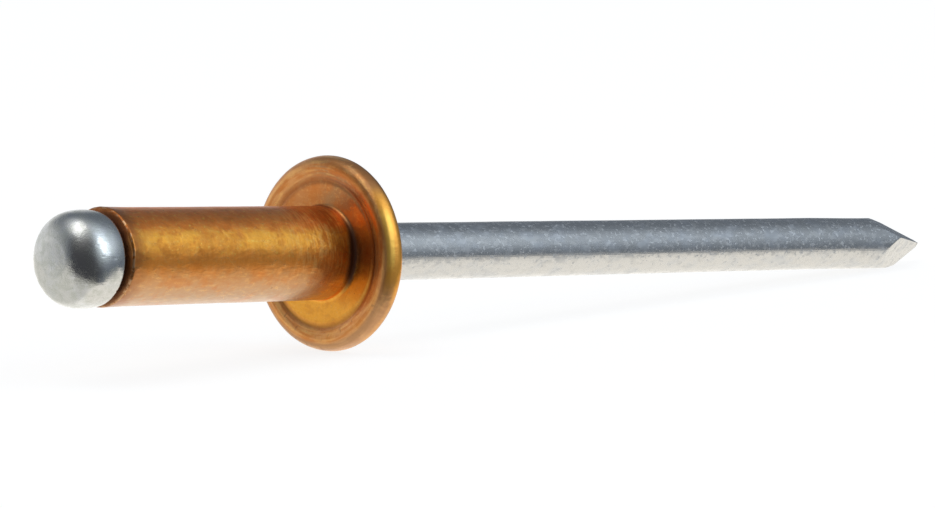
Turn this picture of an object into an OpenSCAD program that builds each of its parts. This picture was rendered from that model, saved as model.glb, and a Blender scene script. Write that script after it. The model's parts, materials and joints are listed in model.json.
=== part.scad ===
// Open-end pop rivet with a domed flange: a copper body on a steel pull mandrel.
// It lies as it comes to rest, on the rim of its flange and the far end of its mandrel.
// Both pieces are turned about one axis, and s is the distance along it from the face under
// the flange, positive towards the mandrel's point. Sizes are in millimetres.

/* [Sleeve] */
// Outside diameter of the sleeve, the rivet's nominal size
sleeve_d = 3.2; // [2.6:0.05:4.2]
// Length of the sleeve below the flange
sleeve_len = 10.3; // [7:0.1:18]
// Radius of the rounded edge at the sleeve's open end
end_round = 0.13; // [0.05:0.01:0.2]
// Radius of the fillet between the sleeve and the flange
root_fillet = 0.16; // [0.05:0.01:0.25]

/* [Flange] */
// Outside diameter of the flange
flange_d = 6.7; // [5.8:0.1:9]
// Height of the domed flange, from the face under it to the top of the dome
flange_h = 1.05; // [0.9:0.05:1.6]
// Width of the flat face under the flange, from the sleeve out to its crease
seat_w = 0.9; // [0.5:0.05:1.1]
// Radius of the round-bottomed crease that borders the flat face
crease_r = 0.05; // [0.03:0.01:0.08]
// Radius of the flange's rounded rim
rim_r = 0.22; // [0.15:0.01:0.26]
// How far the rim's underside stands back from the flat face
rim_back = 0.08; // [0.05:0.01:0.14]

/* [Mandrel] */
// Diameter of the mandrel
mandrel_d = 2; // [1.6:0.05:2.4]
// Length of the mandrel from the face under the flange to its point
mandrel_out = 35.2; // [28:0.2:46]
// Radial clearance between the mandrel and the sleeve's bore
bore_clear = 0.03; // [0.02:0.01:0.06]
// Depth of the notch where the mandrel breaks
neck_depth = 0.26; // [0.15:0.01:0.35]
// Width of the break notch
neck_w = 0.5; // [0.3:0.05:0.8]
// Distance from the head's seat to the break notch
neck_back = 2.2; // [1.2:0.1:4]
// Depth of the crimp that holds the mandrel in the flange
crimp_depth = 0.12; // [0.08:0.01:0.16]
// Width of the crimp
crimp_w = 0.56; // [0.52:0.02:0.66]

/* [Head] */
// How much narrower the head is at its widest than the sleeve
head_under = 0.08; // [0.04:0.02:0.2]
// How much narrower the rim at the back of the head is than its widest place
head_rim_under = 0.06; // [0.02:0.01:0.1]
// Width of the flat seat round the mandrel that bears on the sleeve's end
head_seat_w = 0.25; // [0.1:0.01:0.3]
// Height of the cone between the seat and the rim
head_cone_h = 0.27; // [0.15:0.01:0.4]
// Distance from the rim forward to the widest place
head_side_h = 0.44; // [0.2:0.02:0.8]
// Distance from the widest place forward to the nose
head_nose_h = 1.3; // [0.9:0.05:1.6]
// Fullness of the nose: 2 is an ellipse, more is blunter
head_fullness = 2.6; // [2:0.1:4]
// Gap between the head's seat and the sleeve's end
seat_gap = 0.02; // [0.01:0.01:0.05]

/* [Point] */
// Slope of the broad facet of the pinched point, from the axis
broad_slope = 19; // [14:1:30]
// Slope of the other facets, from the axis
facet_slope = 16; // [14:1:30]
// Turn of the broad facet about the axis
broad_turn = 33; // [0:1:90]
// How far the point stands off the axis
point_off = 0.35; // [0:0.05:0.5]
// Direction in which the point stands off the axis
point_off_turn = 196; // [0:1:359]

/* [Hidden] */
$fn = 96;
FACETS = 4;
ARC_STEPS = 10;
NOSE_STEPS = 20;
COPPER = [0.78, 0.47, 0.2];
STEEL = [0.72, 0.73, 0.74];

sleeve_r = sleeve_d / 2;
flange_r = flange_d / 2;
seat_r = sleeve_r + seat_w;
mandrel_r = mandrel_d / 2;
bore_r = mandrel_r + bore_clear;
head_r = sleeve_r - head_under / 2;
head_rim_r = head_r - head_rim_under / 2;
head_seat_r = mandrel_r + head_seat_w;

// The rim's circle, and the circles of the dome and of the ring that run smoothly into it
rim_at = [flange_r - rim_r, rim_back + rim_r];
dome_rise = flange_h - rim_at.y;
dome_r = (rim_at.x ^ 2 + dome_rise ^ 2 - rim_r ^ 2) / (2 * (dome_rise - rim_r));
dome_at = [0, flange_h - dome_r];
dome_turn = atan2(rim_at.y - dome_at.y, rim_at.x);
ring_w = rim_at.x - seat_r;
ring_r = (ring_w ^ 2 + rim_at.y ^ 2 - rim_r ^ 2) / (2 * rim_back);
ring_at = [seat_r, ring_r];
ring_turn = atan2(rim_at.y - ring_at.y, ring_w);

// Heights on the dome over the bore, and of the crimp in the middle of the flange
dome_hole_turn = acos(bore_r / dome_r);
crimp_s = flange_h / 2;

// Heights along the head, all on the side away from the point
head_seat_s = -sleeve_len - seat_gap;
head_rim_s = head_seat_s - head_cone_h;
head_wide_s = head_rim_s - head_side_h;
head_nose_s = head_wide_s - head_nose_h;
neck_s = head_seat_s + neck_back;

// The arc from the rim of the head to its widest place, level at the widest place
head_side_r = (head_side_h ^ 2 + (head_r - head_rim_r) ^ 2) / (2 * (head_r - head_rim_r));
head_side_turn = asin(head_side_h / head_side_r);

// The point, and the place where the lowest line of the mandrel's wall ends at it
point_at = [point_off * cos(point_off_turn), point_off * sin(point_off_turn), mandrel_out];
wall_down = [0, mandrel_r];
wall_end_s = min([for (i = [0:FACETS - 1]) facet_s(i, wall_down)]);

// Rest: the tilt at which the rim and the end of the wall both touch the floor
rest_drop = rim_at.x - mandrel_r;
rest_run = wall_end_s - rim_at.y;
rest_tilt = atan2(rest_drop, rest_run) + asin(rim_r / norm([rest_drop, rest_run]));
axis_height = mandrel_r * cos(rest_tilt) + wall_end_s * sin(rest_tilt);
middle_s = (head_nose_s + mandrel_out) / 2;

// Points along an arc, from one angle to another
function arc(at, r, from, to) = [
    for (i = [0:ARC_STEPS])
        let (a = from + (to - from) * i / ARC_STEPS)
            at + r * [cos(a), sin(a)]
];

// Points from the nose of the head out to its widest place
function nose() = [
    for (i = [0:NOSE_STEPS])
        let (a = 90 * i / NOSE_STEPS)
            [head_r * sin(a) ^ (2 / head_fullness), head_wide_s - head_nose_h * cos(a) ^ (2 / head_fullness)]
];

// Three points of a V across a wall of radius r, at height s
function notch(r, s, w, depth) = [[r, s - w / 2], [r - depth, s], [r, s + w / 2]];

function facet_turn(i) = broad_turn + i * 360 / FACETS;
function facet_slope_of(i) = i == 0 ? broad_slope : facet_slope;

// Height at which facet i passes over a place beside the axis, given as [near, down]
function facet_s(i, place) =
    let (away = [place.x - point_at.x, place.y - point_at.y])
        mandrel_out - (away.x * cos(facet_turn(i)) + away.y * sin(facet_turn(i))) / tan(facet_slope_of(i));

// Turns a piece from its own axis to where it lies: near is -Y, down is -Z, the point towards +X
module lay_down() {
    translate([-middle_s * cos(rest_tilt), 0, axis_height])
        rotate([0, 90 + rest_tilt, 0])
            rotate([0, 0, -90])
                children();
}

// Copper body: sleeve and flange, cold formed in one piece round the mandrel
module rivet_body() {
    outline = concat(
        [[bore_r, -sleeve_len]],
        arc([sleeve_r - end_round, end_round - sleeve_len], end_round, -90, 0),
        arc([sleeve_r + root_fillet, -root_fillet], root_fillet, 180, 90),
        arc([seat_r, 0], crease_r, 180, 0),
        arc(ring_at, ring_r, asin(crease_r / ring_r) - 90, ring_turn),
        arc(rim_at, rim_r, ring_turn, dome_turn),
        arc(dome_at, dome_r, dome_turn, dome_hole_turn),
        [for (i = [2:-1:0]) notch(bore_r, crimp_s, crimp_w, crimp_depth)[i]]
    );
    color(COPPER)
        lay_down()
            rotate_extrude()
                polygon(outline);
}

// The half space beyond facet i of the point
module beyond_facet(i) {
    reach = 4 * mandrel_d;
    translate(point_at)
        rotate([0, 0, facet_turn(i)])
            rotate([0, -facet_slope_of(i), 0])
                translate([0, -reach, -reach])
                    cube(2 * reach);
}

// Steel mandrel: head, break notch, crimp and pinched point, all of one drawn wire
module mandrel() {
    outline = concat(
        nose(),
        arc([head_r - head_side_r, head_wide_s], head_side_r, 0, head_side_turn),
        [[head_seat_r, head_seat_s], [mandrel_r, head_seat_s]],
        notch(mandrel_r, neck_s, neck_w, neck_depth),
        notch(mandrel_r, crimp_s, crimp_w, crimp_depth),
        [[mandrel_r, mandrel_out], [0, mandrel_out]]
    );
    color(STEEL)
        lay_down()
            difference() {
                rotate_extrude()
                    polygon(outline);
                for (i = [0:FACETS - 1])
                    beyond_facet(i);
            }
}

rivet_body();
mandrel();
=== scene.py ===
"""Blind rivet with a domed flange: a copper body on a steel pull mandrel, lying on a white floor.

Both pieces are turned about one axis. Heights s are measured along it from the flat face under
the flange, positive towards the mandrel's point. Across it, near is -Y and down is about -Z.
"""

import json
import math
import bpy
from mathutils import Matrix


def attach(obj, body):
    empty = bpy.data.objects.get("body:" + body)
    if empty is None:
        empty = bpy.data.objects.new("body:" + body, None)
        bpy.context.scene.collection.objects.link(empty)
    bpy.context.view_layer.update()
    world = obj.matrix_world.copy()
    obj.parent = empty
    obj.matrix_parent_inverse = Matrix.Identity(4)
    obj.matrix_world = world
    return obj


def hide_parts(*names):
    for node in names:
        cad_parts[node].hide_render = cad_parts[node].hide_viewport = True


bl_info = {
    "name": "Blind Rivet",
    "version": (1, 0, 0),
    "blender": (4, 5, 0),
    "location": "3D View > Sidebar > Rivet",
    "description": "Builds a copper blind rivet on its steel mandrel, with a plain studio stage",
    "category": "Add Mesh",
}

import bpy
import numpy as np
from bpy.props import FloatProperty, FloatVectorProperty, PointerProperty
from mathutils import Matrix, Quaternion, Vector, noise

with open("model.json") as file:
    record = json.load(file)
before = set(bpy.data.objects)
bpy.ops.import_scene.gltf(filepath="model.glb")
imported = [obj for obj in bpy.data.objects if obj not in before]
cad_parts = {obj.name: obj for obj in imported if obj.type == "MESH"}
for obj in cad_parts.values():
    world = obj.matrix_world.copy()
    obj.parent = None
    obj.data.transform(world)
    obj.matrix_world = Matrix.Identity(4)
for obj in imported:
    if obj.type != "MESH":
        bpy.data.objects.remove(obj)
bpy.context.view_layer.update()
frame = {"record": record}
MOUNTS = {m["name"]: m for m in frame["record"]["mounts"]}

MM = 0.001


# ---------------------------------------------------------------- settings


def length(name, description, default):
    return FloatProperty(
        name=name,
        description=description,
        default=default,
        min=0,
        subtype="DISTANCE",
        unit="LENGTH",
        precision=6,
    )


def angle(name, description, degrees):
    return FloatProperty(
        name=name,
        description=description,
        default=math.radians(degrees),
        subtype="ANGLE",
        unit="ROTATION",
    )


def offset(name, description, default):
    return FloatProperty(name=name, description=description, default=default, unit="LENGTH")


def colour(name, description, default):
    return FloatVectorProperty(
        name=name, description=description, default=default, size=3, min=0, max=1, subtype="COLOR"
    )


def share(name, description, default):
    return FloatProperty(
        name=name, description=description, default=default, min=0, max=1, subtype="FACTOR"
    )


def number(name, description, default):
    return FloatProperty(name=name, description=description, default=default, min=0)


class RivetBodySettings(bpy.types.PropertyGroup):
    """Sizes and finish of the copper body"""

    sleeve_d: length("Sleeve diameter", "Outside diameter of the sleeve", 3.2 * MM)
    sleeve_len: length("Sleeve length", "Length of the sleeve below the flange", 10.3 * MM)
    end_round: length("End round", "Radius of the edge at the sleeve's open end", 0.10 * MM)
    end_flare: length("End flare", "How far the open end is swollen out", 0.03 * MM)
    # Root shade is painted shade: how far it reaches along the sleeve from the root, on the near side.
    root_shade: length("Root shade", "How far the dirt reaches along the sleeve from its root", 0.38 * MM)
    root_fillet: length("Root fillet", "Radius between the sleeve and the flange", 0.12 * MM)
    bore_d: length("Bore", "Diameter of the sleeve's bore", 2.06 * MM)
    flange_d: length("Flange diameter", "Outside diameter of the flange", 6.7 * MM)
    flange_h: length("Flange height", "Height of the domed flange", 1.05 * MM)
    seat_d: length("Seat diameter", "Diameter of the flat face under the flange", 5.0 * MM)
    crease_w: length("Crease width", "Width of the crease that borders the flat face", 0.32 * MM)
    crease_h: length("Crease depth", "Depth of that crease", 0.034 * MM)
    rim_r: length("Rim radius", "Radius of the flange's rounded rim", 0.46 * MM)
    rim_curl: length("Rim curl", "How far the rim curls past the flat face to the head", 0.04 * MM)
    rim_lean: length("Rim lean", "How far the rim leans towards the head on its leaning side", 0.20 * MM)
    lean_turn: angle("Lean turn", "Where the rim leans most, from near towards down", -45)
    rim_knock: length("Rim knock", "How far the rim is knocked in at its flattened place", 0.03 * MM)
    knock_turn: angle("Knock turn", "Where the rim is knocked, from near towards down", -27)
    knock_at: length("Knock flat", "Distance from the axis to the flat left by the knock", 3.20 * MM)
    rub_depth: length("Rub depth", "Depth of the band rubbed off the rim round the knock", 0.035 * MM)
    # The sleeve's tones follow its height round the axis: reddish on top, golden in the band where the
    # side softbox's highlight falls, brightest red just below, dull and palest underneath where the white
    # floor is reflected. They are partly the copper's own film and partly painted highlight and painted
    # reflection. Golden copper is also laid as painted light on the seat's lower half and on the rim's
    # highlight.
    red: colour("Red copper", "Reddish copper on top of the sleeve", (0.93, 0.28, 0.048))
    ember: colour("Ember copper", "Brightest red copper, along the sleeve's side", (1.0, 0.35, 0.055))
    gold: colour("Golden copper", "Copper where its film is golden", (1.0, 0.455, 0.060))
    tan: colour("Dull copper", "Dull copper low on the sleeve", (0.60, 0.29, 0.105))
    ash: colour("Ashen copper", "Palest dull copper, under the sleeve", (0.55, 0.37, 0.23))
    # Dun is the seat's plain copper. Ring copper is darker, a painted shade on the upper far side of the
    # seat and ring; straw copper is lighter, a painted light on the ring's lower side.
    dun: colour("Dun copper", "Dull reddish copper on the seat's upper half", (0.64, 0.265, 0.088))
    shade: colour("Ring copper", "Darker copper on the ring's upper side", (0.46, 0.225, 0.090))
    lit_straw: colour("Straw copper", "Lighter copper on the ring's lower side", (0.76, 0.355, 0.125))
    worn: colour("Worn copper", "Pale copper on the rubbed edges", (1.0, 0.58, 0.18))
    # Bare copper on the knocked rim; it is also painted as glints in the sleeve's highlight and as the
    # core of the rim's painted highlight.
    bare_and_glint: colour("Bare copper", "Palest copper, where the rim was knocked", (1.0, 0.59, 0.11))
    # Brown film in fine patches; it also darkens patches of the sleeve's painted highlight and lays the
    # painted shade along the rim's step.
    brown: colour("Brown film", "Thin brown film in fine patches", (0.62, 0.185, 0.030))
    # Smoky copper is the rim's brown film and also its painted shade on the far side.
    smoke_and_shade: colour("Smoky copper", "Brown film on the rim", (0.50, 0.225, 0.075))
    # Dusty copper is a painted pale reflection of the white floor on the lower rim.
    pale_floor_reflection: colour("Dusty copper", "Pale film on the lower rim", (0.58, 0.36, 0.20))
    chip: colour("Chipped copper", "Pale chips on the sleeve's open edge", (0.64, 0.38, 0.20))
    # Scorched copper is partly a dark film and partly painted shade, at the open end beside the head and
    # in the crease.
    scorch_and_shade: colour("Scorched copper", "Dark red-brown film at the sleeve's open end", (0.30, 0.105, 0.035))
    # Tarnish is real in the pits and marks, and painted shade at the root and on the sleeve's end face.
    tarnish_and_shade: colour("Tarnish", "Brown in the pits and at the root", (0.17, 0.055, 0.022))
    # The root gap's near black is a painted shadow in the deepest part of the root.
    gap: colour("Root gap", "Near black in the deepest part of the root", (0.035, 0.014, 0.010))
    roughness: share("Roughness", "Roughness of the plain copper", 0.32)


class RivetMandrelSettings(bpy.types.PropertyGroup):
    """Sizes and finish of the steel mandrel"""

    shank_d: length("Mandrel diameter", "Diameter of the drawn wire", 2.0 * MM)
    head_d: length("Head diameter", "Diameter of the head at its widest", 3.14 * MM)
    head_rim_d: length("Head rim", "Diameter of the rim at the back of the head", 3.06 * MM)
    head_seat_d: length("Head seat", "Diameter of the seat on the sleeve's end", 2.5 * MM)
    rim_up: length("Rim height", "Distance from the seat forward to the rim", 0.27 * MM)
    side_up: length("Side height", "Distance from the rim forward to the widest place", 0.44 * MM)
    nose_up: length("Nose height", "Distance from the widest place to the nose", 1.3 * MM)
    head_drop: length("Head drop", "How far the head stands below the axis", 0.04 * MM)
    end_drop: length("End drop", "How far the far end of the wire is bent down", 0.03 * MM)
    fullness: number("Nose fullness", "2 is an ellipse, more is blunter", 2.64)
    nose_flat_d: length("Nose flat", "Diameter of the slight flat on the nose", 1.05 * MM)
    point_s: length("Point", "Distance from under the flange to where the cuts meet", 35.45 * MM)
    blunt_s: length("Blunt end", "Distance from under the flange to the blunted tip", 35.15 * MM)
    point_near: length("Point offset", "How far the point stands off the axis, away from near", 0.34 * MM)
    point_down: length("Point drop", "How far the point stands below the axis", 0.06 * MM)
    bright: colour("Bright steel", "Clean steel", (0.62, 0.615, 0.60))
    dull: colour("Dull steel", "Duller grey patches", (0.55, 0.575, 0.61))
    pale: colour("Pale steel", "Small pale spots in the zinc", (0.78, 0.80, 0.82))
    grey: colour("Grey zinc", "Greenish grey patches on the head", (0.51, 0.525, 0.485))
    speck: colour("Speck", "Small dark specks, mostly on the head", (0.20, 0.21, 0.20))
    roughness: share("Roughness", "Roughness of the drawn wire", 0.22)
    head_roughness: share("Head roughness", "Roughness of the upset head", 0.26)


class RivetStageSettings(bpy.types.PropertyGroup):
    """Camera and light"""

    azimuth: angle("Camera azimuth", "Direction in which the camera looks, turned from +X to +Y", 41.97)
    elevation: angle("Camera elevation", "How far the camera looks down", 6.62)
    distance: length("Camera distance", "From the camera to the point it looks at", 141.67 * MM)
    aim_x: offset("Aim along", "Point looked at, from the middle", -3.98 * MM)
    aim_z: offset("Aim height", "Height of the point looked at", 2.684 * MM)
    lens: FloatProperty(name="Lens", description="Focal length in millimetres", default=154.0, min=1)
    side_glow: number("Side glow", "Brightness round the side softbox", 1.06)
    side_core: number("Side softbox", "Brightness of the side softbox", 1.0)
    top_glow: number("Top glow", "Brightness round the top softbox", 1.2)
    top_core: number("Top softbox", "Brightness of the top softbox", 0.8)
    floor_white: share("Floor white", "How much of its own white the floor shows to the camera", 0.72)


# ---------------------------------------------------------------- places


class Axis:
    """The rivet's own axis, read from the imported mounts: seat plane and pull axis."""

    def __init__(self):
        along = Vector(MOUNTS["pull"]["axis"]).normalized()
        on_axis = Vector(MOUNTS["pull"]["pos_m"])
        seat = Vector(MOUNTS["seat"]["pos_m"])
        self.origin = on_axis + along * (seat - on_axis).dot(along)
        self.along = along
        self.near = Vector((0, -1, 0))
        self.down = along.cross(self.near)

    def matrix(self):
        """From the rivet's own axes (near, down, along) to the world's."""
        turn = Matrix((self.near, self.down, self.along)).transposed()
        return Matrix.Translation(self.origin) @ turn.to_4x4()

    def world(self, near, down, s):
        """World places of points beside the axis, given as arrays."""
        basis = np.array([self.near, self.down, self.along])
        return np.stack([near, down, s], -1) @ basis + np.array(self.origin)


AXIS = Axis()


def arc(centre, radius, start, end, steps):
    """Outline points (radius, s) along an arc, with angles in degrees."""
    turns = np.radians(np.linspace(start, end, steps))
    return [(centre[0] + radius * math.cos(t), centre[1] + radius * math.sin(t)) for t in turns]


def smooth(values, start, end):
    """Rises softly from 0 at start to 1 at end; falls if end is lower."""
    t = np.clip((values - start) / (end - start), 0, 1)
    return t * t * (3 - 2 * t)


def line(start, end, steps, skip_first=False):
    """Outline points along a straight stretch."""
    run = np.subtract(end, start)
    points = [tuple(np.add(start, run * i / (steps - 1))) for i in range(steps)]
    return points[1:] if skip_first else points


def noise_at(points, scale, seed):
    """Smooth noise from -1 to 1 at each place."""
    shift = Vector((seed * 11.3, seed * 5.7, seed * 3.1))
    flat = points.reshape(-1, 3)
    values = [noise.noise(Vector(p) / scale + shift) for p in flat]
    return np.array(values).reshape(points.shape[:-1])


def uneven(places, grain, height, seed):
    """Soft unevenness of this grain and height, both in millimetres."""
    return noise_at(places, grain * MM, seed) * height * MM


def on_floor(places):
    """Flattens the few places that would dip into the floor."""
    places[..., 2] = np.maximum(places[..., 2], -0.008 * MM)
    return places


def skin(name, places, closed_rows, poles=(None, None)):
    """A mesh object from rows of places round the axis; poles are single points at its ends."""
    rows, turns = places.shape[:2]
    vertices = [tuple(p) for p in places.reshape(-1, 3)]
    faces = []
    for i in range(rows if closed_rows else rows - 1):
        a, b = i * turns, (i + 1) % rows * turns
        for j in range(turns):
            k = (j + 1) % turns
            faces.append((a + j, a + k, b + k, b + j))
    for pole, row in zip(poles, (0, rows - 1)):
        if pole is not None:
            vertices.append(tuple(pole))
            tip = len(vertices) - 1
            for j in range(turns):
                k = row * turns + (j + 1) % turns
                j = row * turns + j
                faces.append((tip, k, j) if row == 0 else (tip, j, k))
    mesh = bpy.data.meshes.new(name)
    mesh.from_pydata(vertices, [], faces)
    mesh.validate()
    mesh.polygons.foreach_set("use_smooth", [True] * len(mesh.polygons))
    mesh.update()
    piece = bpy.data.objects.new(name, mesh)
    bpy.context.scene.collection.objects.link(piece)
    return piece


# ---------------------------------------------------------------- node helpers


class Nodes:
    """Short calls for building one node tree."""

    def __init__(self, tree):
        self.tree = tree
        tree.nodes.clear()

    def add(self, kind, settings=None, **inputs):
        """A node of this kind; i0, i1 and so on are its inputs by number."""
        node = self.tree.nodes.new(kind)
        for key, value in (settings or {}).items():
            setattr(node, key, value)
        for key, value in inputs.items():
            self.put(node.inputs[int(key[1:])], value)
        return node

    def put(self, socket, value):
        """Links another node's output to the socket, or sets the socket's own value."""
        if isinstance(value, bpy.types.NodeSocket):
            self.tree.links.new(value, socket)
        else:
            socket.default_value = value

    def math(self, operation, *values):
        """The result of one sum; each value is a number or another node's output."""
        node = self.add("ShaderNodeMath", {"operation": operation})
        for i, value in enumerate(values):
            self.put(node.inputs[i], value)
        return node.outputs[0]

    def chain(self, operation, values):
        """One value from several, by the same operation again and again."""
        result = values[0]
        for value in values[1:]:
            result = self.math(operation, result, value)
        return result

    def times(self, *values):
        """The product of all the values."""
        return self.chain("MULTIPLY", values)

    def plus(self, *values):
        """The total of all the values."""
        return self.chain("ADD", values)

    def largest(self, *values):
        """The largest of all the values."""
        return self.chain("MAXIMUM", values)

    def vector(self, operation, *values, out=0):
        """The result of one sum on places or directions."""
        node = self.add("ShaderNodeVectorMath", {"operation": operation})
        for i, value in enumerate(values):
            self.put(node.inputs[i], value)
        return node.outputs[out]

    def ramp(self, value, low, high, out_low=0.0, out_high=1.0, smooth=True):
        """Goes from out_low, where the value is at low, to out_high, where it is at high."""
        node = self.add(
            "ShaderNodeMapRange",
            {"interpolation_type": "SMOOTHSTEP" if smooth else "LINEAR", "clamp": True},
        )
        for i, v in enumerate((value, low, high, out_low, out_high)):
            self.put(node.inputs[i], v)
        return node.outputs[0]

    def between(self, value, start, full, fading, end):
        """Rises softly from 0 at start to 1 at full, and falls from fading to 0 at end."""
        return self.times(self.ramp(value, start, full), self.ramp(value, end, fading))

    def mix(self, factor, a, b, blend="MIX"):
        """Colour a where the factor is 0, and colour b where it is 1."""
        node = self.add(
            "ShaderNodeMix",
            {"data_type": "RGBA", "blend_type": blend, "clamp_factor": True},
        )
        self.put(node.inputs[0], factor)
        self.put(node.inputs[6], a if isinstance(a, bpy.types.NodeSocket) else (*a, 1))
        self.put(node.inputs[7], b if isinstance(b, bpy.types.NodeSocket) else (*b, 1))
        return node.outputs[2]

    def film(self, base, colour, value, none, full, most=1.0, area=None):
        """Lays a colour over the base: nothing where the value is at none, the most at full."""
        amount = self.ramp(value, none, full, 0.0, most)
        if area is not None:
            amount = self.times(amount, area)
        return self.mix(amount, base, colour)

    def texture(self, place, scale, detail=2.0, rough=0.5, stretch=(1, 1, 1), distortion=0.0):
        """Noise from about 0 to 1; scale is the size of its grain in metres."""
        node = self.add("ShaderNodeTexNoise", {"noise_dimensions": "3D"})
        self.put(node.inputs["Vector"], self.vector("MULTIPLY", place, stretch))
        node.inputs["Scale"].default_value = 1 / scale
        node.inputs["Detail"].default_value = detail
        node.inputs["Roughness"].default_value = rough
        node.inputs["Distortion"].default_value = distortion
        return node.outputs["Fac"]

    def tones(self, value, stops):
        """Colours at heights from -1 to 1, blended evenly between them."""
        node = self.add("ShaderNodeValToRGB", i0=self.math("MULTIPLY_ADD", value, 0.5, 0.5))
        elements = node.color_ramp.elements
        elements.remove(elements[1])
        elements[0].position, elements[0].color = (stops[0][0] + 1) / 2, (*stops[0][1], 1)
        for height, colour in stops[1:]:
            elements.new((height + 1) / 2).color = (*colour, 1)
        return node.outputs[0]

    def scratches(self, place, turn, low, high):
        """Fine slanting scratches, 0 or 1, that run at this turn in degrees from the axis."""
        mapping = self.add("ShaderNodeMapping", {"vector_type": "POINT"})
        self.put(mapping.inputs["Vector"], place)
        mapping.inputs["Rotation"].default_value = (math.radians(turn), 0, 0)
        lines = self.texture(mapping.outputs[0], 0.035 * MM, 1, 0.5, stretch=(0.1, 1.0, 0.035))
        return self.ramp(lines, low, high)

    def own_axes(self):
        """Places in the rivet's own axes: x near, y down, z along."""
        coordinates = self.add("ShaderNodeTexCoord").outputs["Object"]
        mapping = self.add("ShaderNodeMapping", {"vector_type": "TEXTURE"})
        self.put(mapping.inputs["Vector"], coordinates)
        mapping.inputs["Location"].default_value = AXIS.origin
        mapping.inputs["Rotation"].default_value = AXIS.matrix().to_euler()
        return mapping.outputs[0]

    def bumpy_metal(self, base, metallic, roughness, heights, strength, depth):
        """The finished surface: metal with small bumps of this depth in metres."""
        bump = self.add("ShaderNodeBump")
        bump.inputs["Strength"].default_value = strength
        bump.inputs["Distance"].default_value = depth
        self.put(bump.inputs["Height"], heights)
        shader = self.add("ShaderNodeBsdfPrincipled")
        self.put(shader.inputs["Base Color"], base)
        self.put(shader.inputs["Metallic"], metallic)
        self.put(shader.inputs["Roughness"], roughness)
        self.put(shader.inputs["Normal"], bump.outputs[0])
        out = self.add("ShaderNodeOutputMaterial")
        self.put(out.inputs[0], shader.outputs[0])


def new_material(name):
    """An empty material, and the short calls for its nodes."""
    material = bpy.data.materials.new(name)
    material.use_nodes = True
    return material, Nodes(material.node_tree)


# ---------------------------------------------------------------- copper body

# How much further round than the knock the rim's painted highlight is centred, from near towards down
BRIGHT_PAST_KNOCK = math.radians(14)

# Where the painted shade along the step inside the rim is darkest, from near towards down
STEP_TURN = math.radians(-50.27)

# The knocked and the rubbed face of the rim: their slope from flat across the axis, how softly
# they meet the rim, and in degrees how far each spreads round it from its middle
FACE_SLOPE = math.radians(76)
FACE_SOFTNESS = 0.02 * MM
KNOCK_SPREAD = 22
RUB_SPREAD = 30
RUB_PAST_KNOCK = 26

# How far the rim is pushed down
RIM_DROP = 0.02 * MM

BODY_TURNS = 448


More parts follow.
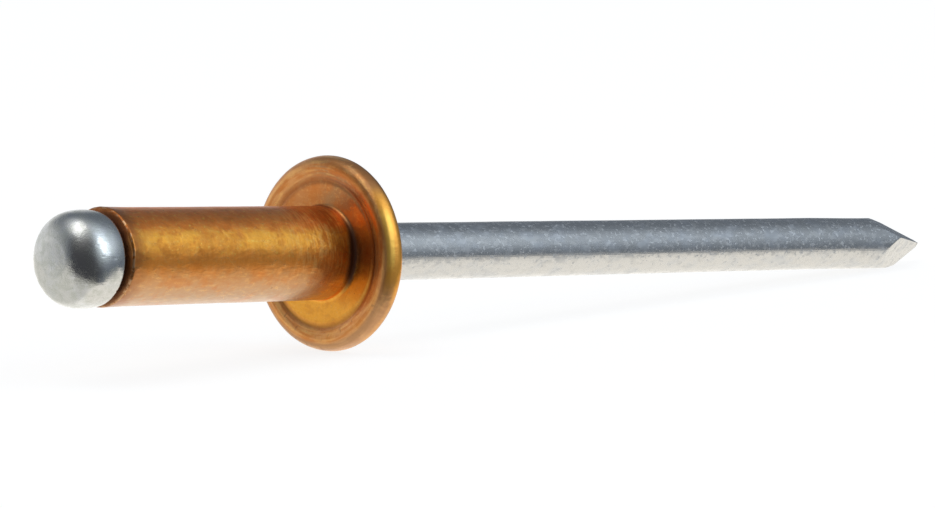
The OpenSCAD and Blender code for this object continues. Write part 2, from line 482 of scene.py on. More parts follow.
class CopperMaps:
    """Where each part of the copper body is, and the grains of its finish, as shader values."""

    def __init__(self, nodes, sizes):
        place = nodes.own_axes()
        near, down, self.along = nodes.add("ShaderNodeSeparateXYZ", i0=place).outputs
        radius = nodes.vector("LENGTH", nodes.vector("MULTIPLY", place, (1, 1, 0)), out=1)
        self.below = nodes.math("DIVIDE", down, radius)
        self.beside = nodes.math("DIVIDE", near, radius)
        self.past_sleeve = nodes.math("SUBTRACT", radius, sizes.sleeve_d / 2)
        self.past_crease = nodes.math("SUBTRACT", radius, sizes.seat_d / 2)
        self.from_rim = nodes.math("SUBTRACT", sizes.flange_d / 2, radius)
        self.from_end = nodes.plus(self.along, sizes.sleeve_len)

        # Broad patches that break up the sleeve's painted highlight
        self.highlight_breaks = nodes.texture(place, 1.3 * MM, 3, 0.6, stretch=(1, 1, 0.8))
        self.blotch = nodes.texture(place, 0.9 * MM, 4, 0.65)
        self.patch = nodes.texture(place, 0.38 * MM, 3, 0.6, stretch=(1, 1, 0.7), distortion=0.15)
        self.mottle = nodes.texture(place, 0.16 * MM, 3, 0.65, stretch=(1, 1, 0.6))
        self.pit = nodes.texture(place, 0.16 * MM, 2, 0.6)
        self.glint = nodes.texture(place, 0.12 * MM, 3, 0.65, stretch=(1, 1, 0.7))
        self.streak = nodes.texture(place, 0.12 * MM, 3, 0.7, stretch=(1, 1, 0.35), distortion=0.5)
        self.turning = nodes.texture(place, 0.09 * MM, 3, 0.6, stretch=(0.16, 0.16, 1))
        self.grain = nodes.texture(place, 0.06 * MM, 2, 0.5)
        self.scuffs = nodes.largest(
            nodes.scratches(place, 38, 0.73, 0.79),
            nodes.scratches(place, -24, 0.74, 0.80),
        )
        round_axis = nodes.add("ShaderNodeCombineXYZ", i0=radius, i1=self.beside, i2=self.below)
        round_axis = round_axis.outputs[0]
        self.hoops = nodes.texture(round_axis, 0.10 * MM, 1, 0.5, stretch=(1, 0.32 * MM, 0.32 * MM))
        self.ticks = nodes.texture(round_axis, 0.12 * MM, 1, 0.5, stretch=(0.5, 2.2 * MM, 2.2 * MM))

        # Areas, each 1 inside and 0 outside: the sleeve, all that is forward of the dome, the
        # ring between the crease and the edge, and the rim
        self.on_sleeve = nodes.ramp(self.along, -0.1 * MM, -0.28 * MM)
        self.front = nodes.ramp(self.along, 0.35 * MM, 0.2 * MM)
        self.ring = nodes.times(nodes.ramp(self.past_crease, 0.0, 0.12 * MM), self.front)
        self.rim = nodes.ramp(self.from_rim, 0.34 * MM, 0.18 * MM)

        # Heights from -1 at the top to 1 at the bottom, wavering with the blotches, and the
        # same leaned over, so that the far side counts as lower than the near one
        self.sway = nodes.math("MULTIPLY_ADD", nodes.plus(self.blotch, self.patch), 0.26, -0.26)
        self.height = nodes.plus(self.below, self.sway)
        self.lower = nodes.math("MULTIPLY_ADD", self.beside, -0.6, self.below)
        # The sleeve's bright side, where the side softbox's highlight falls; the glints and patches
        # painted only here are a painted highlight.
        self.bright_side = nodes.times(
            self.on_sleeve, nodes.ramp(self.height, 0.08, -0.12, 0.12, 1.0)
        )
        # Near the flange, strongest on the sleeve's upper half: its turning marks there are partly painted
        # glints in the highlight.
        self.by_flange = nodes.times(
            self.on_sleeve,
            nodes.ramp(self.along, -4.0 * MM, -1.0 * MM, 0.08, 0.5),
            nodes.ramp(self.below, 0.5, 0.0, 0.3, 1.0),
        )

    def facing(self, nodes, turn):
        """How squarely a place faces this turn about the axis, from near towards down: 1 at most."""
        return nodes.plus(
            nodes.times(self.beside, math.cos(turn)), nodes.times(self.below, math.sin(turn))
        )


def plain_copper(nodes, at, sizes):
    """The copper's colour on each part before wear and dirt, with painted light and shade laid by height
    and side: tones by height on the sleeve, painted shade on the upper far side of the seat and ring, and
    painted light on their lower side.
    """
    # Tones by height on the sleeve: a painted highlight in golden copper on its bright band and a painted
    # reflection of the floor in pale copper underneath, over its own reddish copper.
    tones = (
        (-0.85, sizes.red),
        (-0.66, sizes.red),
        (-0.50, sizes.gold),
        (-0.28, sizes.gold),
        (-0.04, sizes.ember),
        (0.10, sizes.ember),
        (0.36, sizes.tan),
        (0.86, sizes.ash),
    )
    # Painted shade: darker copper on the seat's upper far side.
    base = nodes.mix(nodes.ramp(at.lower, -1.15, -0.8), sizes.shade, sizes.dun)
    base = nodes.film(base, sizes.brown, at.blotch, none=0.6, full=0.4, most=0.35)
    # Painted light: golden copper on the lower half, which faces the white floor.
    base = nodes.film(base, sizes.gold, at.height, none=-0.1, full=0.4)
    base = nodes.mix(at.on_sleeve, base, nodes.tones(at.height, tones))
    # The ring: painted shade on its upper far side, painted light on its lower side.
    ring_lit_and_shaded = nodes.mix(nodes.ramp(at.lower, -1.15, -0.55), sizes.shade, sizes.lit_straw)
    on_ring = nodes.times(at.ring, nodes.ramp(at.blotch, 0.35, 0.6, 0.75, 1.0))
    return nodes.mix(on_ring, base, ring_lit_and_shaded)


def mottled_copper(nodes, at, sizes, base):
    """Fine streaks and patches of film and wear, and on the sleeve's bright side a painted highlight
    broken up by dark patches and pale glints.
    """
    bright = at.bright_side
    base = nodes.film(base, sizes.brown, at.streak, none=0.50, full=0.34, most=0.15)
    base = nodes.film(base, sizes.worn, at.streak, none=0.52, full=0.68, most=0.24)
    # Painted highlight: dark patches and pale glints only where the side light falls.
    base = nodes.film(base, sizes.brown, at.highlight_breaks, none=0.50, full=0.38, most=0.4, area=bright)
    base = nodes.film(base, sizes.bare_and_glint, at.glint, none=0.58, full=0.70, most=0.8, area=bright)
    base = nodes.film(base, sizes.brown, at.patch, none=0.50, full=0.34, most=0.5, area=bright)
    base = nodes.film(base, sizes.brown, at.blotch, none=0.50, full=0.38, most=0.3)
    return nodes.film(base, sizes.tan, at.patch, none=0.53, full=0.66, most=0.10)


def turned_copper(nodes, at, sizes, base):
    """Fine rings round the sleeve near the flange, strongest on its upper half where they are partly
    painted glints in the highlight, and round the flange's own ring.
    """
    base = nodes.film(base, sizes.worn, at.turning, none=0.5, full=0.60, area=at.by_flange)
    base = nodes.film(base, sizes.brown, at.turning, none=0.5, full=0.38, area=at.by_flange)
    base = nodes.film(base, sizes.brown, at.hoops, none=0.52, full=0.36, most=0.5, area=at.ring)
    return nodes.film(base, sizes.worn, at.hoops, none=0.52, full=0.68, most=0.3, area=at.ring)


def rim_copper(nodes, at, sizes, base):
    """Film on the rim with painted shade on its far side and a painted reflection of the floor on its
    lower side, a painted golden highlight round its knock with partly bare copper at its core, and painted
    shade along the step inside it.
    """
    hooped = nodes.times(at.rim, nodes.ramp(at.hoops, 0.34, 0.6, 0.7, 0.15))
    base = nodes.mix(hooped, base, sizes.smoke_and_shade)
    # Painted reflection of the white floor: paler copper towards the bottom of the rim.
    base = nodes.film(base, sizes.pale_floor_reflection, at.below, none=0.1, full=0.6, most=0.5, area=at.rim)
    # Painted shade: darker film on the rim's far side.
    base = nodes.film(base, sizes.smoke_and_shade, at.beside, none=-0.1, full=-0.6, most=0.6, area=at.rim)

    # Painted highlight: golden copper where the rim faces the side light, and palest copper at its core on
    # the knocked place, where the copper is partly bare.
    facing_highlight = at.facing(nodes, sizes.knock_turn + BRIGHT_PAST_KNOCK)
    crown = nodes.ramp(at.from_rim, 0.23 * MM, 0.11 * MM)
    base = nodes.film(base, sizes.gold, facing_highlight, none=0.80, full=0.94, most=0.8, area=crown)
    knocked = nodes.times(
        nodes.ramp(at.along, 0.17 * MM, 0.08 * MM),
        nodes.ramp(at.from_rim, 0.23 * MM, 0.13 * MM),
    )
    base = nodes.film(base, sizes.bare_and_glint, facing_highlight, none=0.93, full=0.98, most=0.8, area=knocked)

    # Painted shade along the step inside the rim, darkest on its upper near side.
    facing_step = at.facing(nodes, STEP_TURN)
    step = nodes.between(at.from_rim, 0.23 * MM, 0.37 * MM, 0.49 * MM, 0.63 * MM)
    step = nodes.times(step, at.front)
    return nodes.film(base, sizes.brown, facing_step, none=0.799, full=0.959, most=0.75, area=step)


def open_end_copper(nodes, at, sizes, base):
    """The sleeve's open end darker beside the head, partly a dark film and partly painted shade, with pale
    chips on its edge.
    """
    # Painted shade over a dark film, darkest at the open end beside the head.
    from_end = nodes.plus(at.from_end, nodes.times(at.sway, 1.2 * MM))
    base = nodes.film(base, sizes.scorch_and_shade, from_end, none=0.9 * MM, full=0.0, most=0.7)
    edge = nodes.times(
        nodes.ramp(at.past_sleeve, -0.05 * MM, -0.01 * MM),
        nodes.ramp(at.from_end, 0.09 * MM, 0.05 * MM),
    )
    return nodes.film(base, sizes.chip, at.mottle, none=0.46, full=0.56, area=edge)


def scuffed_copper(nodes, at, sizes, base):
    """Short slanting scuffs, clearest where the copper has least film."""
    scuffs = nodes.times(at.scuffs, nodes.ramp(at.blotch, 0.4, 0.6, 0.1, 0.55))
    return nodes.mix(scuffs, base, sizes.worn)


def creased_copper(nodes, at, sizes, base):
    """Painted shade in the crease round the seat, partly a dark film."""
    waver = nodes.math("MULTIPLY_ADD", at.patch, 0.16 * MM, -0.08 * MM)
    off_crease = nodes.plus(nodes.math("ABSOLUTE", at.past_crease), waver)
    area = nodes.times(nodes.ramp(at.along, -0.12 * MM, -0.06 * MM), at.front)
    return nodes.film(
        base, sizes.scorch_and_shade, off_crease, none=0.24 * MM, full=0.0, most=0.62, area=area
    )


def painted_root_shade(nodes, at, sizes):
    """Painted shade where the sleeve meets the flange, reaching furthest along the sleeve on the near
    side.
    """
    nearness = nodes.math("POWER", nodes.largest(at.beside, 0.0), 3.0)
    waver = nodes.times(at.sway, 0.3 * MM)
    reach = nodes.plus(at.along, nodes.times(nearness, sizes.root_shade), waver)
    return nodes.times(
        nodes.ramp(reach, -0.10 * MM, 0.22 * MM),
        at.front,
        nodes.ramp(at.beside, 0.5, 0.95, 0.1, 0.96),
        nodes.ramp(nodes.plus(at.past_sleeve, waver), 0.16 * MM, 0.03 * MM),
    )


def end_shade_and_dirt(nodes, at):
    """Painted shade on the sleeve's end face under the head, and dirt in the pits and in short marks low
    on the flange's ring.
    """
    # Painted shade of the head on the sleeve's end face
    end_face_shade = nodes.times(
        nodes.ramp(at.from_end, 0.05 * MM, 0.01 * MM),
        nodes.ramp(at.past_sleeve, -0.3 * MM, -0.02 * MM, 0.95, 0.3),
    )
    pits = nodes.ramp(at.pit, 0.70, 0.78, 0.0, 0.3)
    low = nodes.ramp(at.below, 0.1, 0.5)
    marks = nodes.times(at.ring, low, nodes.ramp(at.ticks, 0.64, 0.74), 0.3)
    return nodes.largest(end_face_shade, pits, marks)


def copper_material(sizes):
    """Aged copper: its colours with painted light and shade, then film and wear with painted highlights,
    then dirt and painted shade.
    """
    material, nodes = new_material("aged_copper")
    at = CopperMaps(nodes, sizes)
    base = plain_copper(nodes, at, sizes)
    base = mottled_copper(nodes, at, sizes, base)
    base = turned_copper(nodes, at, sizes, base)
    base = rim_copper(nodes, at, sizes, base)
    base = open_end_copper(nodes, at, sizes, base)
    base = scuffed_copper(nodes, at, sizes, base)
    base = creased_copper(nodes, at, sizes, base)
    # Painted shade at the root, widest on the near side
    root = painted_root_shade(nodes, at, sizes)
    dirt_and_shade = nodes.largest(root, end_shade_and_dirt(nodes, at))
    # Tarnish in the pits and marks, and painted shade at the root and on the end face
    base = nodes.mix(dirt_and_shade, base, sizes.tarnish_and_shade)
    # Painted shadow, near black, in the deepest part of the root
    base = nodes.mix(nodes.times(root, 0.7), base, sizes.gap)

    metallic = nodes.plus(0.95, nodes.times(dirt_and_shade, -0.3), nodes.times(at.ring, -0.15))
    roughness = nodes.plus(
        sizes.roughness + 0.12,
        nodes.times(at.streak, -0.24),
        nodes.times(dirt_and_shade, 0.15),
        nodes.times(at.rim, at.mottle, 0.10),
    )
    heights = nodes.plus(
        nodes.times(at.streak, 0.32),
        nodes.times(at.grain, 0.12),
        nodes.times(at.patch, at.on_sleeve, 0.9),
        nodes.times(at.mottle, at.rim, 0.6),
        nodes.times(at.turning, at.by_flange, 0.3),
        nodes.times(at.hoops, at.ring, 0.5),
        nodes.times(at.scuffs, -0.1),
    )
    nodes.bumpy_metal(base, metallic, roughness, heights, strength=0.9, depth=0.018 * MM)
    return material


def body_outline(b):
    """The body's closed outline, from the bore at the open end round the sleeve, flange and dome."""
    sleeve_r, bore_r, seat_r = b.sleeve_d / 2, b.bore_d / 2, b.seat_d / 2
    rim_at = (b.flange_d / 2 - b.rim_r, b.rim_r - b.rim_curl)
    dome_rise = b.flange_h - rim_at[1]
    dome_r = (rim_at[0] ** 2 + dome_rise**2 - b.rim_r**2) / (2 * (dome_rise - b.rim_r))
    dome_at = (0, b.flange_h - dome_r)
    dome_turn = math.degrees(math.atan2(rim_at[1] - dome_at[1], rim_at[0]))
    ring_w = rim_at[0] - seat_r
    ring_r = (ring_w**2 + rim_at[1] ** 2 - b.rim_r**2) / (2 * b.rim_curl)
    ring_at = (seat_r, -ring_r)
    ring_turn = math.degrees(math.atan2(rim_at[1] - ring_at[1], ring_w))
    hole_turn = math.degrees(math.acos(bore_r / dome_r))
    ring_start = 90 - math.degrees(math.asin(b.crease_w / 2 / ring_r))

    bore_end = (bore_r, -b.sleeve_len + 0.05 * MM)
    bore_edge = (bore_r + 0.02 * MM, -b.sleeve_len)
    outline = [bore_end]
    outline += line(bore_edge, (sleeve_r - b.end_round, -b.sleeve_len), 5)
    outline += arc((sleeve_r - b.end_round, b.end_round - b.sleeve_len), b.end_round, -80, 0, 9)
    outline += line((sleeve_r, b.end_round - b.sleeve_len), (sleeve_r, -b.root_fillet), 84, True)
    outline += arc((sleeve_r + b.root_fillet, -b.root_fillet), b.root_fillet, 171, 90, 11)
    outline += line((sleeve_r + b.root_fillet, 0), (seat_r - b.crease_w / 2, 0), 10, True)
    for i in range(1, 12):
        t = i / 12
        dip = b.crease_h * 0.5 * (1 - math.cos(2 * math.pi * t))
        outline.append((seat_r - b.crease_w / 2 + b.crease_w * t, dip))
    outline += arc(ring_at, ring_r, ring_start, ring_turn, 10)
    outline += arc(rim_at, b.rim_r, ring_turn - 180, dome_turn, 30)[1:]
    outline += arc(dome_at, dome_r, dome_turn, hole_turn + 1.5, 26)[1:]
    dome_top = outline[-1][1]
    bore_top = (bore_r, dome_top - 0.06 * MM)
    outline += [(bore_r + 0.02 * MM, dome_top - 0.01 * MM), bore_top]
    outline += line(bore_top, bore_end, 4)[1:-1]
    return np.array(outline)


def knocked_rim(b, near, down, s):
    """Leans the rim towards the head on one side, and flattens it where it was knocked."""
    turn, radius = np.arctan2(down, near), np.hypot(near, down)
    rim_start, rim_full = b.sleeve_d / 2 + 0.3 * MM, b.flange_d / 2 - 0.15 * MM
    outer = smooth(radius, rim_start, rim_full) * (s > -0.2 * MM)
    off = np.degrees(turn - b.knock_turn)
    lean = b.rim_lean / 2 * (1 + np.cos(turn - b.lean_turn))
    lean = lean + b.rim_knock * np.exp(-((off / KNOCK_SPREAD) ** 2))
    s = s - lean * outer
    down = down + RIM_DROP * outer

    # Both faces cut into the rim slope by FACE_SLOPE from flat across the axis
    up, out = math.cos(FACE_SLOPE), math.sin(FACE_SLOPE)
    along_knock = near * math.cos(b.knock_turn) + down * math.sin(b.knock_turn)
    knock = along_knock * out - s * up - b.knock_at
    round_rim = (b.flange_d / 2 - b.rim_r) * out - (b.rim_r - b.rim_curl - lean) * up + b.rim_r
    depth = b.rub_depth * np.exp(-(((off - RUB_PAST_KNOCK) / RUB_SPREAD) ** 2))
    rub = radius * out - s * up - round_rim + depth
    cut = FACE_SOFTNESS * np.log1p(np.exp(np.maximum(knock, rub) / FACE_SOFTNESS)) / out * outer
    return near * (1 - cut / radius), down * (1 - cut / radius), s


def body_places(b, turns):
    """Rows of places round the body's closed outline, a little uneven and worn."""
    outline = body_outline(b)
    around = np.linspace(0, 2 * math.pi, turns, endpoint=False)
    radius = np.repeat(outline[:, :1], turns, 1)
    s = np.repeat(outline[:, 1:], turns, 1)
    places = AXIS.world(radius * np.cos(around), radius * np.sin(around), s)
    outside = (radius > b.bore_d / 2 + 0.05 * MM).astype(float)
    swell = uneven(places, 1.6, 0.005, 3) + uneven(places, 0.5, 0.0035, 5)
    from_end = np.maximum(s + b.sleeve_len, 0)
    swell += b.end_flare * np.exp(-from_end / (0.7 * MM)) * (s < 0)
    end = np.exp(-((from_end / (0.2 * MM)) ** 2))
    swell += uneven(places, 0.2, 0.012, 8) * end
    radius = radius + swell * outside
    s = s + uneven(places, 0.25, 0.02, 9) * end * outside
    flange = (s > -0.05 * MM) & (radius > b.sleeve_d / 2)
    s = s + uneven(places, 1.2, 0.006, 12) * flange
    near, down, s = knocked_rim(b, radius * np.cos(around), radius * np.sin(around), s)
    return on_floor(AXIS.world(near, down, s))


class RIVET_OT_copper_body(bpy.types.Operator):
    """Builds the copper body: sleeve, crease and domed flange in one skin"""

    bl_idname = "rivet.copper_body"
    bl_label = "Copper body"

    def execute(self, context):
        sizes = context.scene.rivet_body
        piece = skin("copper_body", body_places(sizes, BODY_TURNS), closed_rows=True)
        piece.data.materials.append(copper_material(sizes))
        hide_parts("rivet_body")
        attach(piece, "root")
        return {"FINISHED"}


# ---------------------------------------------------------------- steel mandrel

# The four cuts of the pinched point: turn about the axis from near towards down, slope from the
# axis, and how far outside the point the cut passes in millimetres
CUTS = ((30.0, 16.7, 0.0), (-66.8, 15.4, -0.03), (120.0, 16.0, 0.04), (210.0, 16.0, 0.0))
CUT_SOFTNESS = 0.03 * MM

# Where the mesh rows lie between the end of the wall, at 0, and the tip, at 1
POINT_STEPS = (0.012, 0.03, 0.08, 0.16, 0.26, 0.36, 0.46, 0.56, 0.66, 0.76, 0.85, 0.92, 0.965, 0.985)

# Heights where the shank comes out of the flange, and where the last stretch of its wall starts
SHANK_SHOWS = 0.8 * MM
WALL_START = 28 * MM

# Heights between which the wire's far end is bent down
BEND_START = 27 * MM
BEND_END = 31 * MM

# Gap between the head's seat and the sleeve's end, and depth of the flat on the nose
SEAT_GAP = 0.02 * MM
NOSE_FLAT_DEPTH = 0.012 * MM

MANDREL_TURNS = 288


def steel_material(sizes):
    """Drawn steel with thin zinc, duller in clouds, with a greyer and frosted head."""
    material, nodes = new_material("drawn_steel")
    place = nodes.own_axes()
    along = nodes.add("ShaderNodeSeparateXYZ", i0=place).outputs[2]
    head = nodes.ramp(along, -3 * MM, -6 * MM)

    cloud = nodes.texture(place, 0.6 * MM, 4, 0.65, stretch=(1, 1, 0.6))
    frost = nodes.texture(place, 0.30 * MM, 5, 0.68, distortion=0.3)
    blot = nodes.texture(place, 0.2 * MM, 3, 0.6, stretch=(1, 1, 0.55))
    spot = nodes.texture(place, 0.13 * MM, 1, 0.5, stretch=(1, 1, 0.8))
    grit = nodes.texture(place, 0.10 * MM, 2, 0.6)
    draw = nodes.texture(place, 0.05 * MM, 2, 0.5, stretch=(1, 1, 0.03))
    grain = nodes.texture(place, 0.05 * MM, 2, 0.5)
    clouds = nodes.ramp(cloud, 0.42, 0.68)
    blots = nodes.ramp(blot, 0.48, 0.64)
    spots = nodes.ramp(spot, 0.60, 0.70)

    base = nodes.mix(nodes.times(clouds, 0.5), sizes.bright, sizes.dull)
    pale = nodes.times(spots, nodes.ramp(head, 0.0, 1.0, 0.28, 0.2))
    base = nodes.mix(pale, base, sizes.pale)
    frosted = nodes.times(head, nodes.ramp(frost, 0.40, 0.62, 0.1, 0.75))
    base = nodes.mix(frosted, base, sizes.grey)
    gritty = nodes.ramp(head, 0.0, 1.0, 0.12, 0.4)
    base = nodes.film(base, sizes.speck, grit, none=0.67, full=0.75, area=gritty)

    rough_wire = nodes.plus(
        sizes.roughness,
        nodes.times(clouds, 0.08),
        nodes.times(blots, 0.12),
        nodes.times(spots, 0.22),
    )
    rough_head = nodes.plus(
        sizes.head_roughness - 0.08, nodes.times(nodes.ramp(frost, 0.4, 0.62), 0.12)
    )
    roughness = nodes.ramp(head, 0.0, 1.0, rough_wire, rough_head, smooth=False)
    heights = nodes.plus(
        nodes.times(draw, 0.6),
        nodes.times(grain, 0.12),
        nodes.times(blot, 0.3),
        nodes.times(frost, head, 0.35),
    )
    nodes.bumpy_metal(base, 1.0, roughness, heights, strength=0.5, depth=0.01 * MM)
    return material


def cut_height(m, near, down):
    """Height of the pinched point over places beside the axis: the lowest cut, softly ridged."""
    heights = [m.blunt_s + 0 * near]
    for turn, slope, outside in CUTS:
        t = math.radians(turn)
        away = (near + m.point_near) * math.cos(t) + (down - m.point_down) * math.sin(t)
        away = away - outside * MM
        heights.append(m.point_s - away / math.tan(math.radians(slope)))
    lowest = np.min(heights, axis=0)
    return lowest - CUT_SOFTNESS * np.log(sum(np.exp((lowest - h) / CUT_SOFTNESS) for h in heights))


def head_heights(m, b):
    """Heights of the head's nose, its widest place, its rim and its seat."""
    seat_s = -b.sleeve_len - SEAT_GAP
    rim_s = seat_s - m.rim_up
    wide_s = rim_s - m.side_up
    return wide_s - m.nose_up, wide_s, rim_s, seat_s


def mandrel_outline(m, b):
    """Outline points (radius, s) of the head and the shank, from the nose to WALL_START."""
    shank_r, head_r, rim_r = m.shank_d / 2, m.head_d / 2, m.head_rim_d / 2
    wide_s, rim_s, seat_s = head_heights(m, b)[1:]
    power = 2 / m.fullness

    outline = []
    for i in range(1, 49):
        t = math.radians(90 * (i / 48) ** 1.15)
        height = wide_s - m.nose_up * max(math.cos(t), 0) ** power
        outline.append((head_r * math.sin(t) ** power, height))
    for i in range(1, 10):
        t = i / 9
        outline.append((head_r + (rim_r - head_r) * t * t, wide_s + m.side_up * t))
    outline += [(rim_r - 0.012 * MM, rim_s + 0.02 * MM)]
    outline += line((rim_r - 0.03 * MM, rim_s + 0.04 * MM), (m.head_seat_d / 2, seat_s), 4)
    shank_start = (shank_r, seat_s + 0.02 * MM)
    outline += [(shank_r + 0.06 * MM, seat_s), shank_start]
    outline += line(shank_start, (shank_r, SHANK_SHOWS), 8, True)
    outline += line((shank_r, SHANK_SHOWS), (shank_r, WALL_START), 170, True)
    return np.array(outline)


def mandrel_swell(m, b, places, s, around):
    """How far the skin stands out from the plain outline, and 1 on the head or 0 off it."""
    rim_s, seat_s = head_heights(m, b)[2:]
    on_head = smooth(s, rim_s + 0.3 * MM, rim_s)
    swell = uneven(places, 2.2, 0.004, 21) + uneven(places, 0.7, 0.001, 23)
    dents = np.minimum(noise_at(places, 0.16 * MM, 27) + 0.5, 0) * 0.06 * MM
    lumps = uneven(places, 0.5, 0.004, 29)
    lower = np.clip(np.sin(around), 0, 1) ** 2 * 0.03 * MM
    swell = swell + (dents + lumps + lower) * on_head
    hidden = (s > seat_s - 0.01 * MM) & (s < SHANK_SHOWS - 0.1 * MM)
    return np.where(hidden, 0, swell), on_head


def mandrel_places(m, b, turns):
    """Rows of places from the nose of the head to the point, and the two poles."""
    around = np.linspace(0, 2 * math.pi, turns, endpoint=False)
    nose_s, wide_s = head_heights(m, b)[:2]
    shank_r = m.shank_d / 2
    outline = mandrel_outline(m, b)
    rows_r = [np.repeat(outline[:, :1], turns, 1)]
    rows_s = [np.repeat(outline[:, 1:], turns, 1)]

    # The last stretch of wall ends where the cuts reach it, with a small round before the edge
    wall_end = cut_height(m, shank_r * np.cos(around), shank_r * np.sin(around))
    for t in np.linspace(0, 1, 24)[1:]:
        row = WALL_START + (wall_end - 0.03 * MM - WALL_START) * t
        rows_s.append(row[None])
        rows_r.append(np.full((1, turns), shank_r))
    for back, inward in ((0.012, 0.002), (0.004, 0.006)):
        rows_s.append((wall_end - back * MM)[None])
        rows_r.append(np.full((1, turns), shank_r - inward * MM))
    radius, s = np.vstack(rows_r), np.vstack(rows_s)

    near, down = radius * np.cos(around), radius * np.sin(around)
    swell, on_head = mandrel_swell(m, b, AXIS.world(near, down, s), s, around)
    grow = 1 + swell / np.maximum(radius, 0.2 * MM)
    near, down = near * grow, down * grow
    down = down + m.head_drop * on_head
    flat_r = m.nose_flat_d / 2
    s = s + NOSE_FLAT_DEPTH * smooth(radius, flat_r * 1.2, flat_r * 0.8) * (s < wide_s)
    down = down + m.end_drop * smooth(s, BEND_START, BEND_END)

    # The cuts: rows that close in from the wall's end to the tip
    wall_near, wall_down = near[-1], down[-1] - m.end_drop
    point_near, point_down, point_s = [], [], []
    for t in POINT_STEPS:
        n = wall_near + (-m.point_near - wall_near) * t
        d = wall_down + (m.point_down - wall_down) * t
        point_near.append(n)
        point_down.append(d + m.end_drop)
        point_s.append(cut_height(m, n, d))
    near = np.vstack([near, point_near])
    down = np.vstack([down, point_down])
    s = np.vstack([s, point_s])
    nose_top = np.array([nose_s + NOSE_FLAT_DEPTH])
    nose = AXIS.world(np.zeros(1), np.array([m.head_drop]), nose_top)[0]
    tip_near, tip_down = np.array([-m.point_near]), np.array([m.point_down])
    tip = AXIS.world(tip_near, tip_down + m.end_drop, cut_height(m, tip_near, tip_down))[0]
    return on_floor(AXIS.world(near, down, s)), nose, tip


class RIVET_OT_steel_mandrel(bpy.types.Operator):
    """Builds the steel mandrel: rounded head, drawn shank and pinched point"""

    bl_idname = "rivet.steel_mandrel"
    bl_label = "Steel mandrel"

    def execute(self, context):
        sizes, body = context.scene.rivet_mandrel, context.scene.rivet_body
        places, nose, tip = mandrel_places(sizes, body, MANDREL_TURNS)
        piece = skin("steel_mandrel", places, closed_rows=False, poles=(nose, tip))
        piece.data.materials.append(steel_material(sizes))
        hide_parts("mandrel")
        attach(piece, "root")
        return {"FINISHED"}


# ---------------------------------------------------------------- stage

FLOOR_SIZE = 3.0

# Brightness of the white that the floor shows the camera; with its own light it is full white
FLOOR_GLOW = 1.17

# The room's walls: behind the camera, elsewhere, and the pale backdrop beyond the rivet
DARK_WALL = (0.07, 0.072, 0.08)
PALE_WALL = (0.16, 0.185, 0.22)
BACKDROP = (0.95, 0.96, 0.96)

# Edge of the white paper, on a floor one unit below the rivet: level between two corners and
# sloping away beyond each, where a corner is its place along X and the slope
SHEET_EDGE = -0.72
SHEET_RIGHT = (0.6, -0.665)
SHEET_LEFT = (-0.9, -0.425)

# Soft lights in the room: azimuth and elevation of the centre, spread, level and tint
SOFT_GLOWS = (
    ((-70, 22), 16, "side_glow", (0.85, 0.96, 1.08)),
    ((-54, 45), 17, "side_glow", (0.85, 0.96, 1.08)),
    ((174, 71), 18, "top_glow", (1.0, 1.0, 0.99)),
)


def towards(azimuth, elevation):
    """Unit vector for a direction in degrees."""
    a, e = math.radians(azimuth), math.radians(elevation)
    return Vector((math.cos(a) * math.cos(e), math.sin(a) * math.cos(e), math.sin(e)))


def glow(nodes, direction, centre, spread):
    """A round glow in the room: 1 at its centre, fading as a bell curve, spread in degrees."""
    near = nodes.vector("DOT_PRODUCT", direction, towards(*centre), out=1)
    fall = nodes.times(nodes.plus(near, -1.0), 1 / math.radians(spread) ** 2)
    return nodes.math("EXPONENT", fall)


def dim_room(nodes, direction, azimuth, elevation, settings):
    """The room's walls, darkest behind the camera, with a pale backdrop and the soft glows."""
    ahead = nodes.between(azimuth, -95.0, -55.0, 150.0, 175.0)
    backdrop = nodes.times(
        nodes.between(azimuth, 36.0, 50.0, 112.0, 168.0), nodes.ramp(elevation, 44.0, 10.0)
    )
    room = nodes.mix(ahead, DARK_WALL, PALE_WALL)
    room = nodes.mix(backdrop, room, BACKDROP)
    for centre, spread, brightness, tint in SOFT_GLOWS:
        level = getattr(settings, brightness)
        shine = glow(nodes, direction, centre, spread)
        light = nodes.mix(shine, (0, 0, 0), [level * c for c in tint])
        room = nodes.mix(1.0, room, light, "ADD")
    return room


def white_sheet(nodes, direction, azimuth, elevation):
    """Where a sheet of white paper shows below the horizon, and its white in each direction."""
    x, y, z = nodes.add("ShaderNodeSeparateXYZ", i0=direction).outputs
    drop = nodes.largest(nodes.times(z, -1.0), 0.02)
    u, v = nodes.math("DIVIDE", x, drop), nodes.math("DIVIDE", y, drop)
    right = nodes.times(nodes.largest(nodes.plus(u, -SHEET_RIGHT[0]), 0.0), SHEET_RIGHT[1])
    left = nodes.math("MINIMUM", nodes.plus(u, -SHEET_LEFT[0]), 0.0)
    edge = nodes.plus(right, nodes.times(left, SHEET_LEFT[1]), SHEET_EDGE)
    paper = nodes.times(
        nodes.ramp(nodes.math("SUBTRACT", v, edge), -0.24, 0.0),
        nodes.ramp(elevation, -2.0, -6.0),
        nodes.largest(nodes.ramp(u, 2.9, 2.25), nodes.ramp(azimuth, -25.0, 15.0)),
    )
    white = nodes.mix(nodes.ramp(azimuth, 22.0, 44.0), (1.15, 1.11, 1.03), (1.35, 1.32, 1.26))
    white = nodes.mix(nodes.ramp(azimuth, 50.0, 90.0), white, (0.9, 0.89, 0.84))
    white = nodes.mix(nodes.ramp(azimuth, -130.0, -90.0), (0.85, 0.83, 0.79), white)
    return paper, white


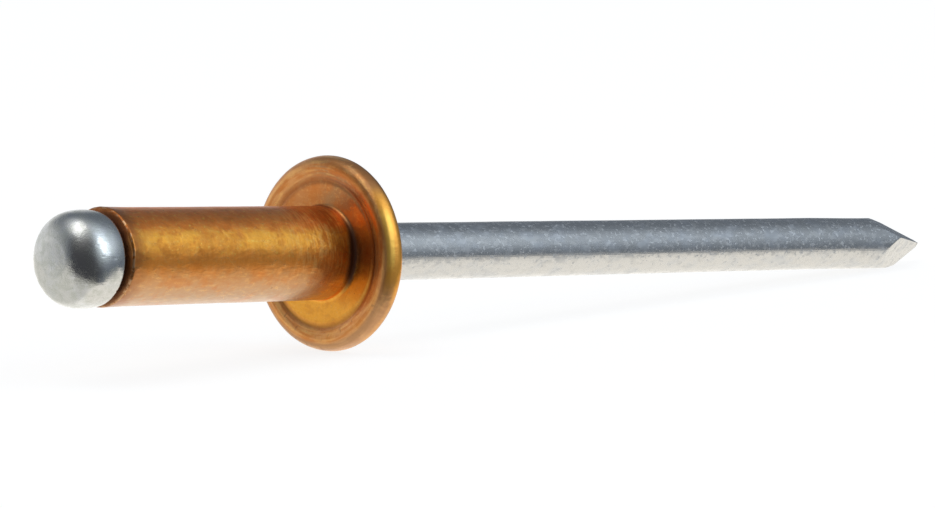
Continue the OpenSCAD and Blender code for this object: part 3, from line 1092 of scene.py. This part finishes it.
def stage_world(settings):
    """White round the camera's view; for everything else a dim room with white paper below."""
    world = bpy.data.worlds.new("studio")
    world.use_nodes = True
    nodes = Nodes(world.node_tree)
    direction = nodes.add("ShaderNodeTexCoord").outputs["Generated"]
    x, y, z = nodes.add("ShaderNodeSeparateXYZ", i0=direction).outputs
    azimuth = nodes.times(nodes.math("ARCTAN2", y, x), 180 / math.pi)
    elevation = nodes.times(nodes.math("ARCSINE", z), 180 / math.pi)

    room = dim_room(nodes, direction, azimuth, elevation, settings)
    paper, white = white_sheet(nodes, direction, azimuth, elevation)
    room = nodes.mix(paper, room, white)

    camera = nodes.add("ShaderNodeLightPath").outputs["Is Camera Ray"]
    background = nodes.add("ShaderNodeBackground")
    nodes.put(background.inputs["Color"], nodes.mix(camera, room, (1, 1, 1)))
    out = nodes.add("ShaderNodeOutputWorld")
    nodes.put(out.inputs[0], background.outputs[0])
    bpy.context.scene.world = world


def floor_material(white):
    """White paper: lit like any floor, but seen by the camera as near white with the shadow kept."""
    material, nodes = new_material("white_paper")
    diffuse = nodes.add("ShaderNodeBsdfDiffuse")
    diffuse.inputs["Color"].default_value = (0.9, 0.9, 0.9, 1)
    own_white = nodes.add("ShaderNodeEmission")
    own_white.inputs["Color"].default_value = (1, 1, 1, 1)
    own_white.inputs["Strength"].default_value = FLOOR_GLOW
    camera = nodes.add("ShaderNodeLightPath").outputs["Is Camera Ray"]
    seen = nodes.times(camera, white)
    mixed = nodes.add(
        "ShaderNodeMixShader", i0=seen, i1=diffuse.outputs[0], i2=own_white.outputs[0]
    )
    out = nodes.add("ShaderNodeOutputMaterial")
    nodes.put(out.inputs[0], mixed.outputs[0])
    return material


def softbox(name, azimuth, elevation, distance, width, height, roll, brightness, tint):
    """An area light of even brightness that faces the rivet; brightness 1 looks white."""
    light = bpy.data.lights.new(name, "AREA")
    light.shape = "RECTANGLE"
    light.size, light.size_y = width, height
    light.energy = brightness * math.pi * width * height
    light.color = tint
    lamp = bpy.data.objects.new(name, light)
    away = towards(azimuth, elevation)
    lamp.location = away * distance
    rolled = Quaternion((0, 0, 1), math.radians(roll))
    lamp.rotation_euler = (away.to_track_quat("Z", "Y") @ rolled).to_euler()
    lamp.visible_camera = False
    bpy.context.scene.collection.objects.link(lamp)


class RIVET_OT_stage(bpy.types.Operator):
    """Builds the floor, the room light, two softboxes and the camera"""

    bl_idname = "rivet.stage"
    bl_label = "Stage"

    def execute(self, context):
        settings = context.scene.rivet_stage
        half = FLOOR_SIZE / 2
        mesh = bpy.data.meshes.new("floor")
        corners = [(-half, -half, 0), (half, -half, 0), (half, half, 0), (-half, half, 0)]
        mesh.from_pydata(corners, [], [(0, 1, 2, 3)])
        floor = bpy.data.objects.new("floor", mesh)
        context.scene.collection.objects.link(floor)
        mesh.materials.append(floor_material(settings.floor_white))
        floor.visible_glossy = False

        stage_world(settings)
        softbox(
            "side_softbox",
            azimuth=-67,
            elevation=29,
            distance=0.5,
            width=0.20,
            height=0.34,
            roll=20,
            brightness=settings.side_core,
            tint=(0.88, 0.97, 1.04),
        )
        softbox(
            "top_softbox",
            azimuth=174,
            elevation=67,
            distance=0.5,
            width=0.24,
            height=0.42,
            roll=0,
            brightness=settings.top_core,
            tint=(1.0, 1.0, 0.99),
        )

        camera_data = bpy.data.cameras.new("camera")
        camera_data.lens = settings.lens
        camera_data.sensor_width = 36
        camera_data.clip_start = 0.001
        camera = bpy.data.objects.new("camera", camera_data)
        context.scene.collection.objects.link(camera)
        a, e = settings.azimuth, settings.elevation
        forward = Vector((math.cos(e) * math.cos(a), math.cos(e) * math.sin(a), -math.sin(e)))
        aim = Vector((settings.aim_x, 0, settings.aim_z))
        camera.location = aim - forward * settings.distance
        camera.rotation_euler = forward.to_track_quat("-Z", "Y").to_euler()
        context.scene.camera = camera
        context.scene.view_settings.view_transform = "Standard"
        return {"FINISHED"}


# ---------------------------------------------------------------- panel and registration


class RIVET_PT_panel(bpy.types.Panel):
    """Lists the steps and their settings"""

    bl_label = "Blind Rivet"
    bl_idname = "RIVET_PT_panel"
    bl_space_type = "VIEW_3D"
    bl_region_type = "UI"
    bl_category = "Rivet"

    def draw(self, context):
        for operator, settings in STEPS:
            self.layout.operator(operator)
            group = getattr(context.scene, settings)
            for name in group.bl_rna.properties.keys():
                if name not in ("rna_type", "name"):
                    self.layout.prop(group, name)


STEPS = (
    ("rivet.copper_body", "rivet_body"),
    ("rivet.steel_mandrel", "rivet_mandrel"),
    ("rivet.stage", "rivet_stage"),
)
GROUPS = {
    "rivet_body": RivetBodySettings,
    "rivet_mandrel": RivetMandrelSettings,
    "rivet_stage": RivetStageSettings,
}
CLASSES = (*GROUPS.values(), RIVET_OT_copper_body, RIVET_OT_steel_mandrel, RIVET_OT_stage, RIVET_PT_panel)


def register():
    for cls in CLASSES:
        bpy.utils.register_class(cls)
    for name, group in GROUPS.items():
        setattr(bpy.types.Scene, name, PointerProperty(type=group))


def unregister():
    for name in GROUPS:
        delattr(bpy.types.Scene, name)
    for cls in reversed(CLASSES):
        bpy.utils.unregister_class(cls)


def main():
    register()
    bpy.ops.rivet.copper_body()
    bpy.ops.rivet.steel_mandrel()
    bpy.ops.rivet.stage()


if __name__ == "__main__":
    main()
